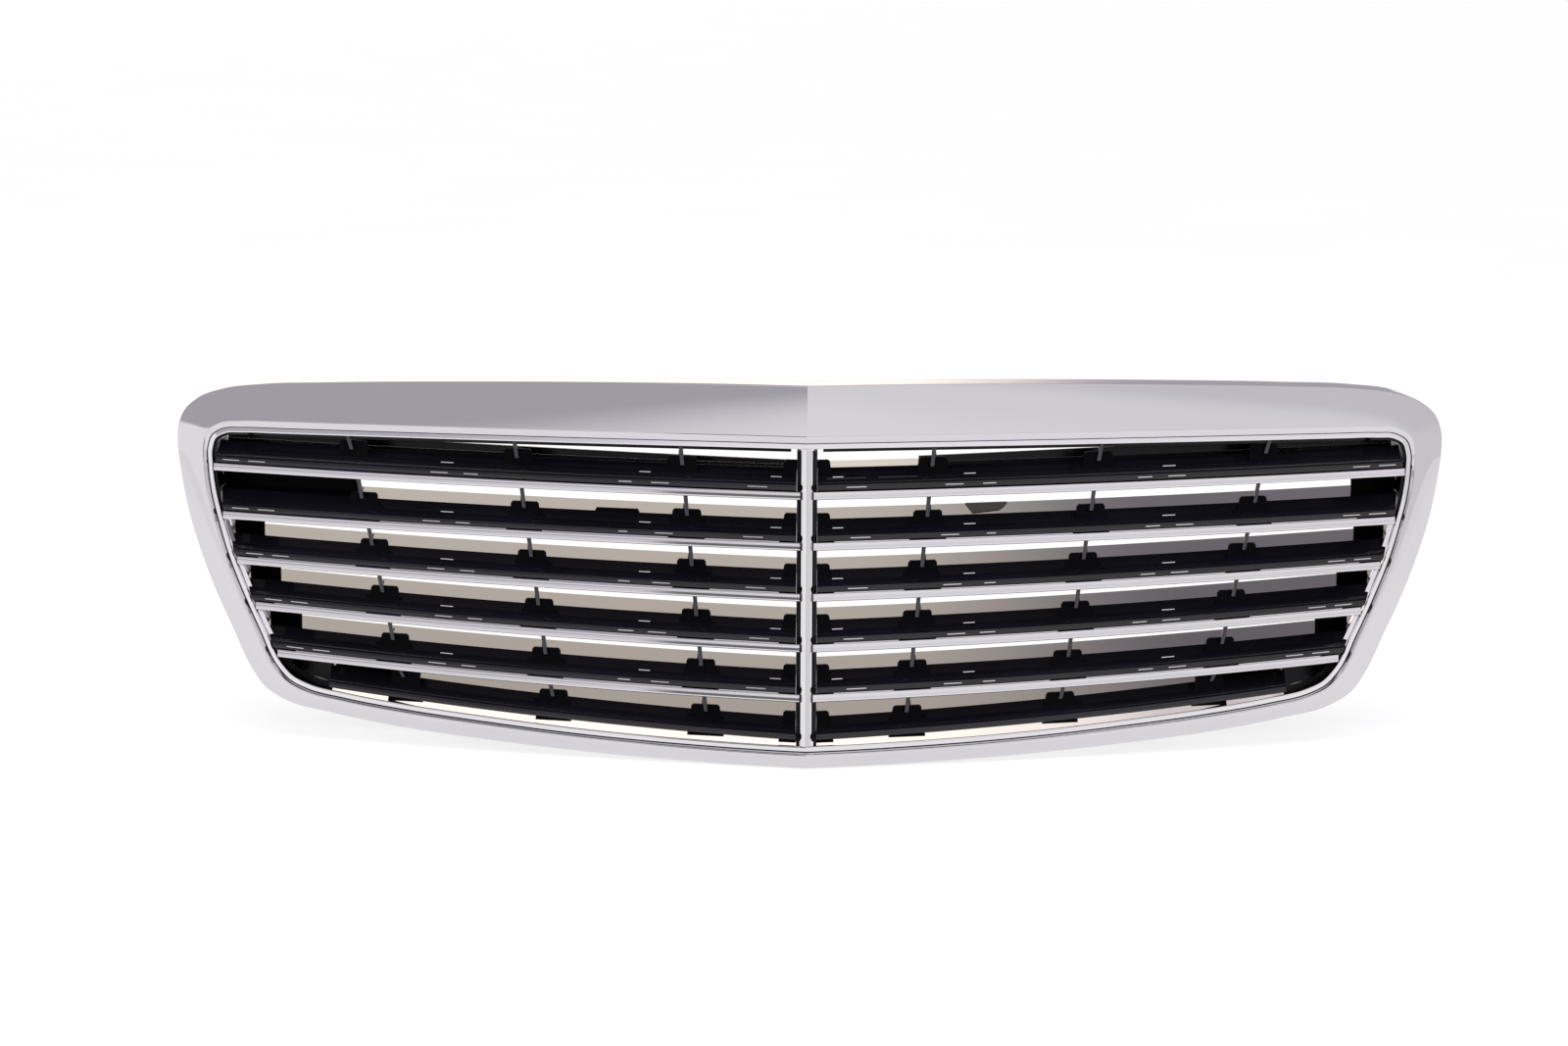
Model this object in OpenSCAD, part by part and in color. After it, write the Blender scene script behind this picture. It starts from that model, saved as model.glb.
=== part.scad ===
// Front grille for a large saloon: chrome surround, stepped inner bezel, centre bar,
// ten trim strips, two louvre inserts, a rear carrier, brackets and quarter-turn locks.
// Millimetres. +X to the viewer's right, -Y is the front, +Z up.
// The origin is midway between the two top bolt holes, on the upper face of their tabs.

/* [Plan and rake] */
// How far each half runs back per millimetre from the ridge
plan_slope = 0.20; // [0.16:0.01:0.24]
// Extra curve of each half, per millimetre squared
plan_curve = 0.00022; // [0.00018:0.00002:0.00026]
// How far the face leans back per millimetre of height
rake = 0.14; // [0.12:0.01:0.16]

/* [Surround] */
// Depth of the skirt behind the face surface
skirt_depth = 44; // [42:1:48]
// Wall thickness of the plated shell
shell_t = 2.6; // [2.2:0.1:3]
// Width of the flat land around the opening
land_w = 3.4; // [3:0.1:3.6]
// How far the land lies behind the face
land_d = 2.2; // [1.8:0.1:3]
// How far the top edge rolls back towards the bonnet
top_roll = 14; // [10:1:16]

/* [Louvres] */
// Depth of the louvre blades
blade_depth = 48; // [44:1:50]
// Thickness of the blades
blade_t = 2.2; // [1.8:0.1:2.6]
// Thickness of the upright ribs
rib_t = 2.6; // [2:0.1:3.2]
// Height of the chrome trim strips
strip_h = 5.2; // [4.8:0.1:5.6]
// Half width of the centre bar
bar_w = 3.5; // [3.2:0.1:3.8]
// Where the bonnet catch window starts in the right-hand insert, from the centre plane
bonnet_window_x = 12; // [10:1:20]
// Width of the bonnet catch window
bonnet_window_w = 56; // [30:1:57]

/* [Mounting] */
// Distance between the two top bolt holes
bolt_spacing = 500; // [480:5:510]
// Radius of the top bolt holes, for M6
bolt_r = 3.3; // [3.1:0.1:3.5]
// Distance between the two lower locks
lower_spacing = 400; // [390:5:410]
// Radius of a lock's shaft
lock_r = 4; // [3.8:0.1:4.2]
// Radial running clearance of a lock in its bracket
lock_gap = 0.05; // [0.03:0.01:0.09]
// Radius of the two locating pins
pin_r = 4; // [3.5:0.5:4]

/* [Hidden] */
$fn = 32;
SIDES = ["left", "right"];

// Colours
chrome = [0.80, 0.80, 0.82];
gloss_black = [0.03, 0.03, 0.035];
matt_black = [0.08, 0.08, 0.085];
steel = [0.62, 0.63, 0.65];
rubber = [0.05, 0.05, 0.05];

// Front elevation of the right half, from the top of the ridge round to its foot.
OUTER = [[0,111],[60,110.8],[140,109.3],[220,106.8],[300,103.3],[345,100.4],[371,96.5],[387,90.5],
    [396.5,82],[400,71],[399.6,60],[396.5,40],[392,20],[384,-4],[374,-28],[362,-52],[350,-75],
    [341,-86],[325,-94.2],[298,-99.2],[254,-105],[200,-109.3],[140,-113],[70,-115.5],[0,-116.4]];
INNER = [[0,74.2],[58,74],[136,73.4],[213,72.7],[290,71.8],[334,71.2],[356,70.8],[368,69.6],
    [373.4,66.4],[375.4,61],[375.4,50],[373,33],[369,18],[361.5,-5],[352,-27],[341,-49.5],[329.5,-71],
    [322.5,-77.8],[311,-82.6],[289,-86.4],[248,-91.2],[197,-95.4],[138,-99.4],[69,-102.2],[0,-103.4]];
NP = len(OUTER);

// Smooth curve through the points, by chord length; the ends mirror across the centre plane.
function pt(P, i) = i < 0 ? [-P[1][0], P[1][1]] : i >= len(P) ? [-P[len(P)-2][0], P[len(P)-2][1]] : P[i];
function hh(P, i) = norm(pt(P, i + 1) - pt(P, i));
function tan_at(P, i) = let (a = hh(P, i - 1), b = hh(P, i))
    ((pt(P, i + 1) - pt(P, i)) / b * a + (pt(P, i) - pt(P, i - 1)) / a * b) / (a + b);
function herm(P, i, u) = let (h = hh(P, i), a = pt(P, i), b = pt(P, i + 1))
    (2*u*u*u - 3*u*u + 1) * a + (u*u*u - 2*u*u + u) * h * tan_at(P, i)
    + (3*u*u - 2*u*u*u) * b + (u*u*u - u*u) * h * tan_at(P, i + 1);
function outward(P, i, u) = let (d = herm(P, i, min(1, u + 0.02)) - herm(P, i, max(0, u - 0.02)), n = [-d[1], d[0]] / norm(d)) n;

// Stations round the right half: [span, fraction]
STEPS = [3,3,3,3,2,2,2,2,2,1,2,2,2,2,2,2,2,2,2,2,3,3,3,3];
ST = concat([for (i = [0:NP-2]) for (k = [0:STEPS[i]-1]) [i, k / STEPS[i]]], [[NP-2, 1]]);
NS = len(ST);

// The curved, raked front surface, and a point a given depth behind it.
function front(x, z) = plan_slope * abs(x) + plan_curve * x * x + rake * z;
TOP_Y = 128; LOW_Y = 88;
DATUM = [0, TOP_Y + 28, 98.5];
function at(x, z, d) = [x, front(x, z) + d, z] - DATUM;

// A point between the inner outline (w mm outward of it) and the outer one (share s of the rest).
function ringpt(st, w, s) = let (a = herm(INNER, st[0], st[1]), b = herm(OUTER, st[0], st[1]),
    n = outward(INNER, st[0], st[1]), p = a + n * w) p + (b - p) * s;
function inset(st, w) = let (b = herm(OUTER, st[0], st[1]), n = outward(OUTER, st[0], st[1])) b - n * w;
// 1 along the top of the ring, 0 along the sides and the bottom
function topness(st) = let (z = herm(OUTER, st[0], st[1])[1]) max(0, min(1, (z - 60) / 40));
function footness(st) = let (z = herm(OUTER, st[0], st[1])[1]) max(0, min(1, (-70 - z) / 25));

// A closed ring swept all the way round: sec gives one section, as a list of points, for a station.
function mirror_pts(L) = [for (p = L) [-p[0], p[1], p[2]]];
module ring(sections) {
    // sections: right half from top to foot; the left half mirrors it
    all = concat(sections, [for (i = [len(sections)-2:-1:1]) mirror_pts(sections[i])]);
    n = len(all); k = len(all[0]);
    polyhedron(points = [for (s = all) for (p = s) p],
        faces = [for (i = [0:n-1]) for (j = [0:k-1])
            let (a = i*k + j, b = i*k + (j+1) % k, c = ((i+1) % n)*k + j, d = ((i+1) % n)*k + (j+1) % k)
            each [[a, b, d], [a, d, c]]]);
}
// An open sweep with flat ends.
module sweep(sections, flip = false) {
    n = len(sections); k = len(sections[0]);
    side = [for (i = [0:n-2]) for (j = [0:k-1])
        let (a = i*k + j, b = i*k + (j+1) % k, c = (i+1)*k + j, d = (i+1)*k + (j+1) % k)
        each (flip ? [[a, d, b], [a, c, d]] : [[a, b, d], [a, d, c]])];
    e0 = [for (j = [0:k-1]) j]; e1 = [for (j = [0:k-1]) (n-1)*k + j];
    function rev(L) = [for (i = [len(L)-1:-1:0]) L[i]];
    polyhedron(points = [for (s = sections) for (p = s) p],
        faces = concat(side, [flip ? e0 : rev(e0)], [flip ? rev(e1) : e1]));
}
module side_of(s) { if (s == "left") mirror([1, 0, 0]) children(); else children(); }
module blk(lo, hi) { translate(lo) cube(hi - lo); }

// ---------- chrome surround ----------
function face_depth(st, s) = let (t = topness(st), f = footness(st))
    t * top_roll * (0.45*s + 0.55*s*s) + (1 - t) * (1 - f) * 5 * (0.25*s + 0.75*s*s) + f * 2.6 * s * s;
function bevel_w(st) = 0.9 + 2.9 * topness(st) + 0.7 * (1 - topness(st)) * (1 - footness(st));
function surround_section(st) =
    let (w0 = land_w + 0.25, w1 = w0 + bevel_w(st), dO = face_depth(st, 1),
        F = function(s) let (p = ringpt(st, w1, s)) at(p[0], p[1], face_depth(st, s)),
        K = function(s) let (p = ringpt(st, w1 + 0.4, s)) at(p[0], p[1], face_depth(st, s) + shell_t + 0.4),
        A = ringpt(st, w0, 0), B = ringpt(st, w0 + shell_t, 0),
        O = inset(st, 0), O1 = inset(st, 0.4), I1 = inset(st, shell_t + 0.4), I2 = inset(st, shell_t))
    [at(A[0], A[1], land_d - 0.3), F(0), F(0.25), F(0.5), F(0.75), F(0.96),
     at(O[0], O[1], dO + 1.4), at(O[0], O[1], dO + 6), at(O1[0], O1[1], skirt_depth),
     at(I1[0], I1[1], skirt_depth), at(I2[0], I2[1], dO + 7), K(0.8), K(0.35),
     at(B[0], B[1], land_d + shell_t), at(B[0], B[1], 27), at(A[0], A[1], 27)];
// Screw bosses: [x, z, radius] in the front elevation, right half
BOSSES = [[60, 92.5, 4.2], [175, 91, 4.2], [312, 86.5, 4.2], [385.5, 44, 4.2], [368.5, -14, 4.2], [339.8, -73.5, 4.2], [236, -98.2, 2.9], [95, -107.1, 2.9]];
module boss_at(b, r, d0, d1) {
    p0 = at(b[0], b[1], d0); p1 = at(b[0], b[1], d1);
    hull() translate(p0) rotate([-90, 0, 0]) cylinder(r = r, h = p1[1] - p0[1], $fn = 20);
}
module surround_shell() color(chrome) {
    difference() {
        union() {
            ring([for (st = ST) surround_section(st)]);
            for (s = SIDES) side_of(s) for (b = BOSSES) boss_at(b, b[2], b[1] > 80 ? 9 : 5.5, 29.6);
        }
        for (s = SIDES) side_of(s) for (b = BOSSES) boss_at(b, b[2] < 4 ? 1.6 : 2.05, 17, 33);
    }
}

// ---------- inner bezel ----------
function bezel_section(st) =
    let (A = ringpt(st, land_w, 0), A1 = ringpt(st, land_w - 0.35, 0), I = ringpt(st, 0, 0), I1 = ringpt(st, 0.35, 0),
        B = ringpt(st, 2, 0), C = ringpt(st, land_w, 0))
    [at(A[0], A[1], land_d + 0.4), at(A1[0], A1[1], land_d), at(I1[0], I1[1], land_d + 0.2), at(I[0], I[1], land_d + 0.7),
     at(I[0], I[1], 28), at(B[0], B[1], 28), at(B[0], B[1], land_d + 2.4), at(C[0], C[1], land_d + 2.4)];
module inner_bezel() color(chrome) ring([for (st = ST) let (q = bezel_section(st)) [for (k = [7:-1:0]) q[k]]]);

// ---------- louvre lines ----------
ZC = [46.4, 16.1, -14.3, -44.6, -74.6, -102.6];
RISE = [2, 2.5, 5, 7.7, 9.5, 18];
// Mid height of trim strip i (0 to 4); row 5 is the lowest blade, which has no strip.
function zmid(i, x) = let (t = abs(x) / 320) ZC[i] + RISE[i] * (0.4*t + 0.6*t*t);
function znose(i, x) = zmid(i, x) + strip_h / 2;
// Half width of the opening at height z, from the inner outline.
function halfw(z) = lookup(z, [for (i = [NP-1:-1:5]) [INNER[i][1], INNER[i][0]]]);
// height above the nose of the crease where a blade turns from steep face to shelf, and of its back edge
crease_d = 12.5;
function crease(i) = i == 0 ? 12.9 : 12.4;
function back_z(i) = i == 0 ? 12.6 : 14.4;
function blade_profile(i) = let (k = i < 5 ? -4.4 : 0, e = back_z(i), c = crease(i)) [
    [3, 0], [1, 0.7], [0.2, 2.4], [0.9, 3.9], [2.4, 4.6], [crease_d, c], [blade_depth, e], [blade_depth, e - blade_t],
    [crease_d + 0.8, c - blade_t], [6.6, 3.4], [6.6, k], [4.6, k], [4.6, 0]];
function xout(i) = halfw(znose(i, 340) - 3) - (i < 2 ? 2.3 : 0.5);
// how far the opening widens per mm of height beside blade i
function side_slope(i) = i > 0 && i < 5 ? (halfw(znose(i, 340) + 12) - halfw(znose(i, 340) - 3))/15 : 0;
function xs(a, b, n) = [for (k = [0:n]) a + (b - a) * k / n];
X0 = bar_w + 0.6;

// ---------- trim strips ----------
function strip_profile() = [[2.6, -0.15], [0.7, -0.5], [0.05, -1.5], [-0.25, -strip_h/2], [0.05, 1.5 - strip_h],
    [0.7, 0.5 - strip_h], [2.6, -strip_h], [4.3, -strip_h], [4.3, -0.15]]; // closed section, front to back
CLIPS = [0.12, 0.37, 0.63, 0.88];
module trim_strip(i) color(chrome) {
    xe = halfw(zmid(i, 345) - 2) - 0.45;
    sweep([for (x = xs(X0, xe, 12)) [for (p = strip_profile()) at(x, znose(i, x) + p[1], p[0])]], flip = true);
    for (c = CLIPS) sweep([for (x = [c*xe - 4, c*xe + 4]) [for (p = [[4.2, -4.2], [4.2, -0.6], [4.58, -0.6], [4.58, -4.2]]) at(x, znose(i, x) + p[1], p[0])]]);
}

// ---------- louvre inserts ----------
// Ribs: three to a row, leaning inwards row by row: [x in the top row, step per row]
RIBS = [[76, 3], [179, 4.6], [285, 6.8]];
function rib_x(i, k) = RIBS[k][0] - RIBS[k][1] * (i + 0.5);
// end of the open part of each row; outside it the row is closed
OPEN_R = [0, 343, 345, 334, 320, 242];
OPEN_L = [0, 283, 345, 334, 320, 242];
function under(i, d) = lookup(d, [[6.6, 3.4], [crease_d + 0.8, crease(i) - blade_t], [blade_depth, back_z(i) - blade_t]]);
function over(i, d) = lookup(d, [[2.4, 4.6], [crease_d, crease(i)], [blade_depth, back_z(i)]]);
function foot_top(i) = i == 0 ? 18.3 : 16.6;
// A rib: a slanted pin from the foot up to the strip above, with a low fin behind it
module rib(i, k) {
    step = RIBS[k][1];
    x0 = rib_x(i, k) + 0.36*step + 0.4; x1 = x0 + 0.38*step;
    h = rib_t/2;
    zb = znose(i, x0); zt = i == 0 ? 73.5 - x1*0.006 : znose(i - 1, x1) - 4.55;
    hull() sweep([for (u = [0, 1]) let (xc = x0 + (x1 - x0)*u) [for (c = [[-h, 4.8], [-h, 8], [h, 8], [h, 4.8]])
        at(xc + c[0]*(0.9 + 0.1*u), u == 0 ? zb + 12.9 : zt, c[1])]]);
    hull() sweep([for (u = [0, 1]) [for (c = [[-0.8, 7.5], [-0.8, 22], [0.8, 22], [0.8, 7.5]])
        at(x0 + 2.6 + c[0] - u, u == 0 ? zb + over(i, c[1]) - 0.8 : zb + (c[1] > 10 ? 17.5 : foot_top(i) + 3), c[1])]]);
}
// The trapezoid foot behind a rib, down to the back of the trim strip
module foot(i, x, w = 17.4) {
    z0 = znose(i, x); t = foot_top(i); k = i < 5 ? -4.3 : -2.3;
    hull() sweep([for (d = [9, 7]) [for (c = [[-w/2 - 2.6, k], [w/2 + 2.6, k], [w/2, t - 1.1], [w/2 - 1.2, t], [1.2 - w/2, t], [-w/2, t - 1.1]])
        at(x + c[0], z0 + c[1], d)]], flip = true);
}
// Half a foot, beside the centre bar
module half_foot(i, x, w) hull() sweep([for (d = [9, 7]) let (t = foot_top(i), k = i < 5 ? -4.3 : -2.3)
    [for (c = [[0, k], [w + 3, k], [w, t - 1.1], [w - 1.2, t], [0, t]]) at(x + c[0], znose(i, x) + c[1], d)]], flip = true);
// A thin upright web on blade i that closes its row from x = xo to x = xb
module web(i, xo, xb) for (k = [0:2]) hull() sweep([for (x = [xo + (xb - xo)*k/3, xo + (xb - xo)*(k + 1)/3])
    [for (c = [[29, 0], [29, 1], [31.2, 1], [31.2, 0]])
        at(x, c[1] == 0 ? znose(i, x) + over(i, c[0]) - 0.9 : znose(i - 1, x) + under(i - 1, c[0]) - 0.7, c[0])]]);
// One blade with its ribs and feet
module louvre(i, open) color(gloss_black) {
    xe = i < 5 ? xout(i) : 298;
    st = xs(X0 + 2.15, xe, i < 5 ? 12 : 14);
    sweep([for (x = st) [for (p = blade_profile(i)) let (xx = x != xe ? x : i == 0 ? (p[0] > 10 ? x - 1 : x) : x + (p[1] + 3)*side_slope(i))
        at(xx, znose(i, x) + p[1], p[0])]]);
    for (k = [0:2]) { rib(i, k); foot(i, rib_x(i, k) + 1.8); }
    half_foot(i, X0 + 2.15, 7.5);
    if (i > 0) web(i, open[i], i == 5 ? 297 : halfw(znose(i, 330) + 14) - 1.1);
}
// Perimeter wall and clamping flange, right half
WALL_ST = concat([[0, 0.1]], [for (s = ST) if (herm(INNER, s[0], s[1])[0] > X0 + 3) s], [[NP - 2, 0.91]]);
function wall_section(st) = let (a = ringpt(st, 0.1, 0), b = ringpt(st, 2.1, 0), f = ringpt(st, 3.6 - 1.2*footness(st), 0))
    [at(a[0], a[1], 28.6), at(f[0], f[1], 28.6), at(f[0], f[1], 31), at(b[0], b[1], 31), at(b[0], b[1], 50), at(a[0], a[1], 50)];
CHEEK_ST = [for (s = ST) let (p = herm(INNER, s[0], s[1])) if (p[0] > 352 && p[1] > 17) s];
module insert_frame(window) color(gloss_black) {
    sweep([for (st = WALL_ST) let (q = wall_section(st)) [for (p = q) st == WALL_ST[0] || st == [NP - 2, 0.91] ? [X0 + 1.6, p[1], p[2]] : p]]);
    // inner end wall beside the centre bar, with a lip behind the bar
    sweep([for (z = [-101.2, 73]) [for (c = [[X0, 4.8], [X0, 50], [X0 + 2, 50], [X0 + 2, 4.8]]) at(c[0], z, c[1])]]);
    sweep([for (z = [-101, 72.8]) [for (c = [[0.15, 6.5], [0.15, 8.5], [X0 + 0.8, 8.5], [X0 + 0.8, 6.5]]) at(c[0], z, c[1])]]);
    sweep([for (z = [-104.6, -100.6]) [for (c = [[X0 + 0.5, 29.6], [X0 + 0.5, 49.3], [X0 + 3.4, 49.3], [X0 + 3.4, 29.6]]) at(c[0], z, c[1])]]);
    // cheek inside the opening, beside and above the two upper rows
    sweep([for (st = CHEEK_ST) [for (c = [[-0.25, 5.2], [-1.85, 5.2], [-1.85, 28.8], [0.6, 28.8], [0.6, 28.3], [-0.25, 28.3]]) let (q = ringpt(st, c[0], 0)) at(q[0], q[1], c[1])]], flip = true);
    if (window) { row_panel(X0 + 1, bonnet_window_x, 0, 300, 2); row_panel(bonnet_window_x + bonnet_window_w, 242.8, 0, 215, 8); row_panel(242.8, 369.5, 1, 215, 8); }
    else { row_panel(X0 + 1, 291.8, 0, 287, 10); row_panel(291.8, 369.5, 1, 287, 6); }
    corner_panel();
}
// The panel behind the top row, from x = xa to x = xb: low with a gap above it, or up to the bezel
module row_panel(xa, xb, full, reach, n) sweep([for (x = xs(xa, xb, n)) let (lo = znose(0, x) + 12.95,
        hi = full == 1 ? 73.3 - (x - 243)*0.0126 - max(0, x - 352)*0.13 : 64.3 + 4.1*min(1, x/reach))
    [for (c = [[29, lo], [29, hi], [31.2, hi], [31.2, lo]]) at(x, c[1], c[0])]]);
module corner_panel() sweep([for (x = [298.6, 312, 331])
    [at(x, -85.4 + (x - 298.6)*0.24, 29), at(x, znose(4, x) + 10.8, 29), at(x, znose(4, x) + 10.8, 31.2), at(x, -85.4 + (x - 298.6)*0.24, 31.2)]]);

// ---------- centre bar ----------
module centre_bar() color(chrome) {
    prof = [[0, -0.4], [bar_w - 1.0, 1.0], [bar_w, 2.2], [bar_w, 6], [-bar_w, 6], [-bar_w, 2.2], [1.0 - bar_w, 1.0]];
    sweep([for (z = xs(-103, 73.8, 2)) [for (p = prof) [p[0], front(0, z) + p[1], z] - DATUM]], flip = true);
}

// ---------- rear carrier ----------
TOPX = bolt_spacing / 2;
LOWX = lower_spacing / 2;

function carrier_section(st) = let (a = ringpt(st, 2.5, 0), b = inset(st, 6.2 - footness(st)), c = inset(st, 4))
    [at(a[0], a[1], 31.5), at(c[0], c[1], 31.5), at(c[0], c[1], 40), at(b[0], b[1], 40), at(b[0], b[1], 34.5), at(a[0], a[1], 34.5)];
PADS = [[TOPX - 17, 84, 9, 16, TOP_Y], [TOPX + 17, 84, 9, 16, TOP_Y], [LOWX - 17, -103.2, 9, 7.4, LOW_Y], [LOWX + 17, -101.2, 9, 7.4, LOW_Y], [347.8, -57, 9.2, 9.2, 130]];
module pad(p) {
    y0 = front(p[0] + p[2]/2, p[1] + p[3]/2) + 31.6;
    hull() for (y = [y0, p[4] - 0.03]) translate([p[0] - p[2]/2, y, p[1] - p[3]/2] - DATUM) cube([p[2], 0.01, p[3]]);
}
module rear_carrier() color(matt_black) difference() {
    union() {
        ring([for (st = ST) carrier_section(st)]);
        for (s = SIDES) side_of(s) for (p = PADS) pad(p);
    }
    for (s = SIDES) side_of(s) {
        for (b = BOSSES) boss_at(b, b[2] < 4 ? 1.9 : 2.3, 28, 45);
        for (k = [0:3]) translate([PADS[k][0], PADS[k][4] - 12, PADS[k][1]] - DATUM) rotate([-90, 0, 0]) cylinder(r = 1.75, h = 14);
        translate([PADS[4][0], PADS[4][4] - 6, PADS[4][1]] - DATUM) rotate([-90, 0, 0]) cylinder(r = 2.6, h = 8);
    }
}

// ---------- brackets ----------
LOCK_ZT = 83; LOCK_ZL = -104;
module hole_y(x, y0, z, r, h) translate([x, y0, z] - DATUM) rotate([-90, 0, 0]) cylinder(r = r, h = h);
module bracket_top() color(steel) difference() {
    union() {
        translate([TOPX - 22, TOP_Y, 76] - DATUM) cube([44, 2.5, 22.5]);
        translate([TOPX - 18, TOP_Y, 96] - DATUM) cube([36, 28, 2.5]);
        translate([TOPX, TOP_Y + 28, 96] - DATUM) cylinder(r = 18, h = 2.5);
        hole_y(TOPX, TOP_Y + 1, LOCK_ZT, 6.8, 7.5);
    }
    hole_y(TOPX, TOP_Y - 1, LOCK_ZT, lock_r + lock_gap, 12);
    translate([TOPX, TOP_Y + 28, 95] - DATUM) cylinder(r = bolt_r, h = 5);
    for (k = [0, 1]) hole_y(PADS[k][0], TOP_Y - 1, PADS[k][1], 2.2, 5);
}
module bracket_bottom() color(steel) difference() {
    union() {
        translate([LOWX - 44, LOW_Y, -112] - DATUM) cube([66, 2.5, 15]);
        hole_y(LOWX, LOW_Y + 1, LOCK_ZL, 6.8, 7.5);
        hole_y(LOWX - 35, LOW_Y + 1, LOCK_ZL, pin_r, 16);
        translate([LOWX - 35, LOW_Y + 17, LOCK_ZL] - DATUM) rotate([-90, 0, 0]) cylinder(r1 = pin_r, r2 = pin_r - 1.5, h = 2);
    }
    hole_y(LOWX, LOW_Y - 1, LOCK_ZL, lock_r + lock_gap, 12);
    for (k = [2, 3]) hole_y(PADS[k][0], LOW_Y - 1, PADS[k][1], 2.2, 5);
}

// ---------- quarter-turn locks ----------
module turn_lock(x, y0, z) color(matt_black) {
    hole_y(x, y0 - 3.2, z, 6.2, 3);
    hole_y(x, y0 - 0.5, z, lock_r, 17);
    hole_y(x, y0 + 8.7, z, 5.6, 1.6);
    translate([x - 3.2, y0 + 13.4, z - 11] - DATUM) cube([6.4, 4.6, 22]);
}

// ---------- fasteners and soft parts ----------
module screw(x, y, z, len, r, head) {
    difference() {
        union() { hole_y(x, y, z, head, 2.2); hole_y(x, y - len, z, r, len + 0.5); }
        translate([x - 0.5, y + 1.2, z - 1.8] - DATUM) cube([1, 2, 3.6]);
        translate([x - 1.8, y + 1.2, z - 0.5] - DATUM) cube([3.6, 2, 1]);
    }
}
module carrier_screws() color(steel) for (s = SIDES) side_of(s) for (b = BOSSES) {
    head = b[2] < 4 ? 2.35 : b[1] > 80 ? 3.9 : 3.2;
    y = front(b[0] + head, b[1] + head) + 34.75;
    screw(b[0], y, b[1], y - front(b[0], b[1]) - 20, b[2] < 4 ? 1.5 : 1.9, head);
}
module bracket_screws() color(steel) for (s = SIDES) side_of(s) for (k = [0:3])
    screw(PADS[k][0], PADS[k][4] + 2.5, PADS[k][1], 11, 1.7, 3.4);
function seal_section(st) = let (a = inset(st, 0.8), b = inset(st, 5.6))
    [at(a[0], a[1], skirt_depth + 0.1), at(a[0], a[1], skirt_depth + 7), at(b[0], b[1], skirt_depth + 7), at(b[0], b[1], skirt_depth + 0.1)];
module foam_seal() color(rubber) {
    half = [for (st = ST) if (herm(OUTER, st[0], st[1])[0] < 346 && herm(OUTER, st[0], st[1])[1] > 90) seal_section(st)];
    sweep(concat([for (i = [len(half)-1:-1:1]) mirror_pts(half[i])], half), flip = false);
}
module rubber_buffer() color(rubber) {
    hole_y(PADS[4][0], PADS[4][4], PADS[4][1], 4.8, 7);
    translate([PADS[4][0], PADS[4][4] + 7, PADS[4][1]] - DATUM) rotate([-90, 0, 0]) cylinder(r1 = 4.8, r2 = 3.4, h = 3);
    hole_y(PADS[4][0], PADS[4][4] - 5, PADS[4][1], 2.5, 6);
}

surround_shell();
inner_bezel();
centre_bar();
for (s = SIDES) for (i = [1:5]) side_of(s) trim_strip(i - 1);
side_of("left") insert_frame(false);  // insert_frame_left
insert_frame(true);  // insert_frame_right
for (s = SIDES) for (i = [1:6]) side_of(s) louvre(i - 1, s == "left" ? OPEN_L : OPEN_R);
rear_carrier();
for (s = SIDES) {
    side_of(s) bracket_top();
    side_of(s) bracket_bottom();
    side_of(s) turn_lock(TOPX, TOP_Y, LOCK_ZT);
    side_of(s) turn_lock(LOWX, LOW_Y, LOCK_ZL);
}
carrier_screws();
bracket_screws();
foam_seal();
side_of("left") rubber_buffer();  // rubber_buffer_left
rubber_buffer();  // rubber_buffer_right
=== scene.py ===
import bpy
import bmesh
import math
import numpy as np
from mathutils import Matrix, Vector


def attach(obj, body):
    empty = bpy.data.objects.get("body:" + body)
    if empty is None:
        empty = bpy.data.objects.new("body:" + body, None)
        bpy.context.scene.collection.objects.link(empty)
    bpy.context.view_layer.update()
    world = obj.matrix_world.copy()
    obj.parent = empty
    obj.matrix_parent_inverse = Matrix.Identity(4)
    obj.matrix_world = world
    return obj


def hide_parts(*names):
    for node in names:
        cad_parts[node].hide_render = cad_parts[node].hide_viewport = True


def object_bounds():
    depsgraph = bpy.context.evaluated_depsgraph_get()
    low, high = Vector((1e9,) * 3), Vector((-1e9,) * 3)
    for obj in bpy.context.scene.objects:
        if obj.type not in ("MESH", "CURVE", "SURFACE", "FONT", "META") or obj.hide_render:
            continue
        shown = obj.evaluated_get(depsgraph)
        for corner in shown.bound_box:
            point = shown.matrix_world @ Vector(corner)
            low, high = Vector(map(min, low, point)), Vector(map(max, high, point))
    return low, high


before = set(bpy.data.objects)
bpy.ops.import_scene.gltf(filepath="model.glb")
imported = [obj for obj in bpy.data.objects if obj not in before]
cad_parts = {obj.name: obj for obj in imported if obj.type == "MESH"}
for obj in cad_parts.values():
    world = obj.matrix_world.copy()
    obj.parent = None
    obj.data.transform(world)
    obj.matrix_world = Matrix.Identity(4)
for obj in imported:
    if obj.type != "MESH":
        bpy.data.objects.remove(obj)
CAD_BOX = [[float(c) for c in p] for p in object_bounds()]
SIDES = ("left", "right")
bpy.context.scene.view_settings.view_transform = "Standard"

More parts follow.
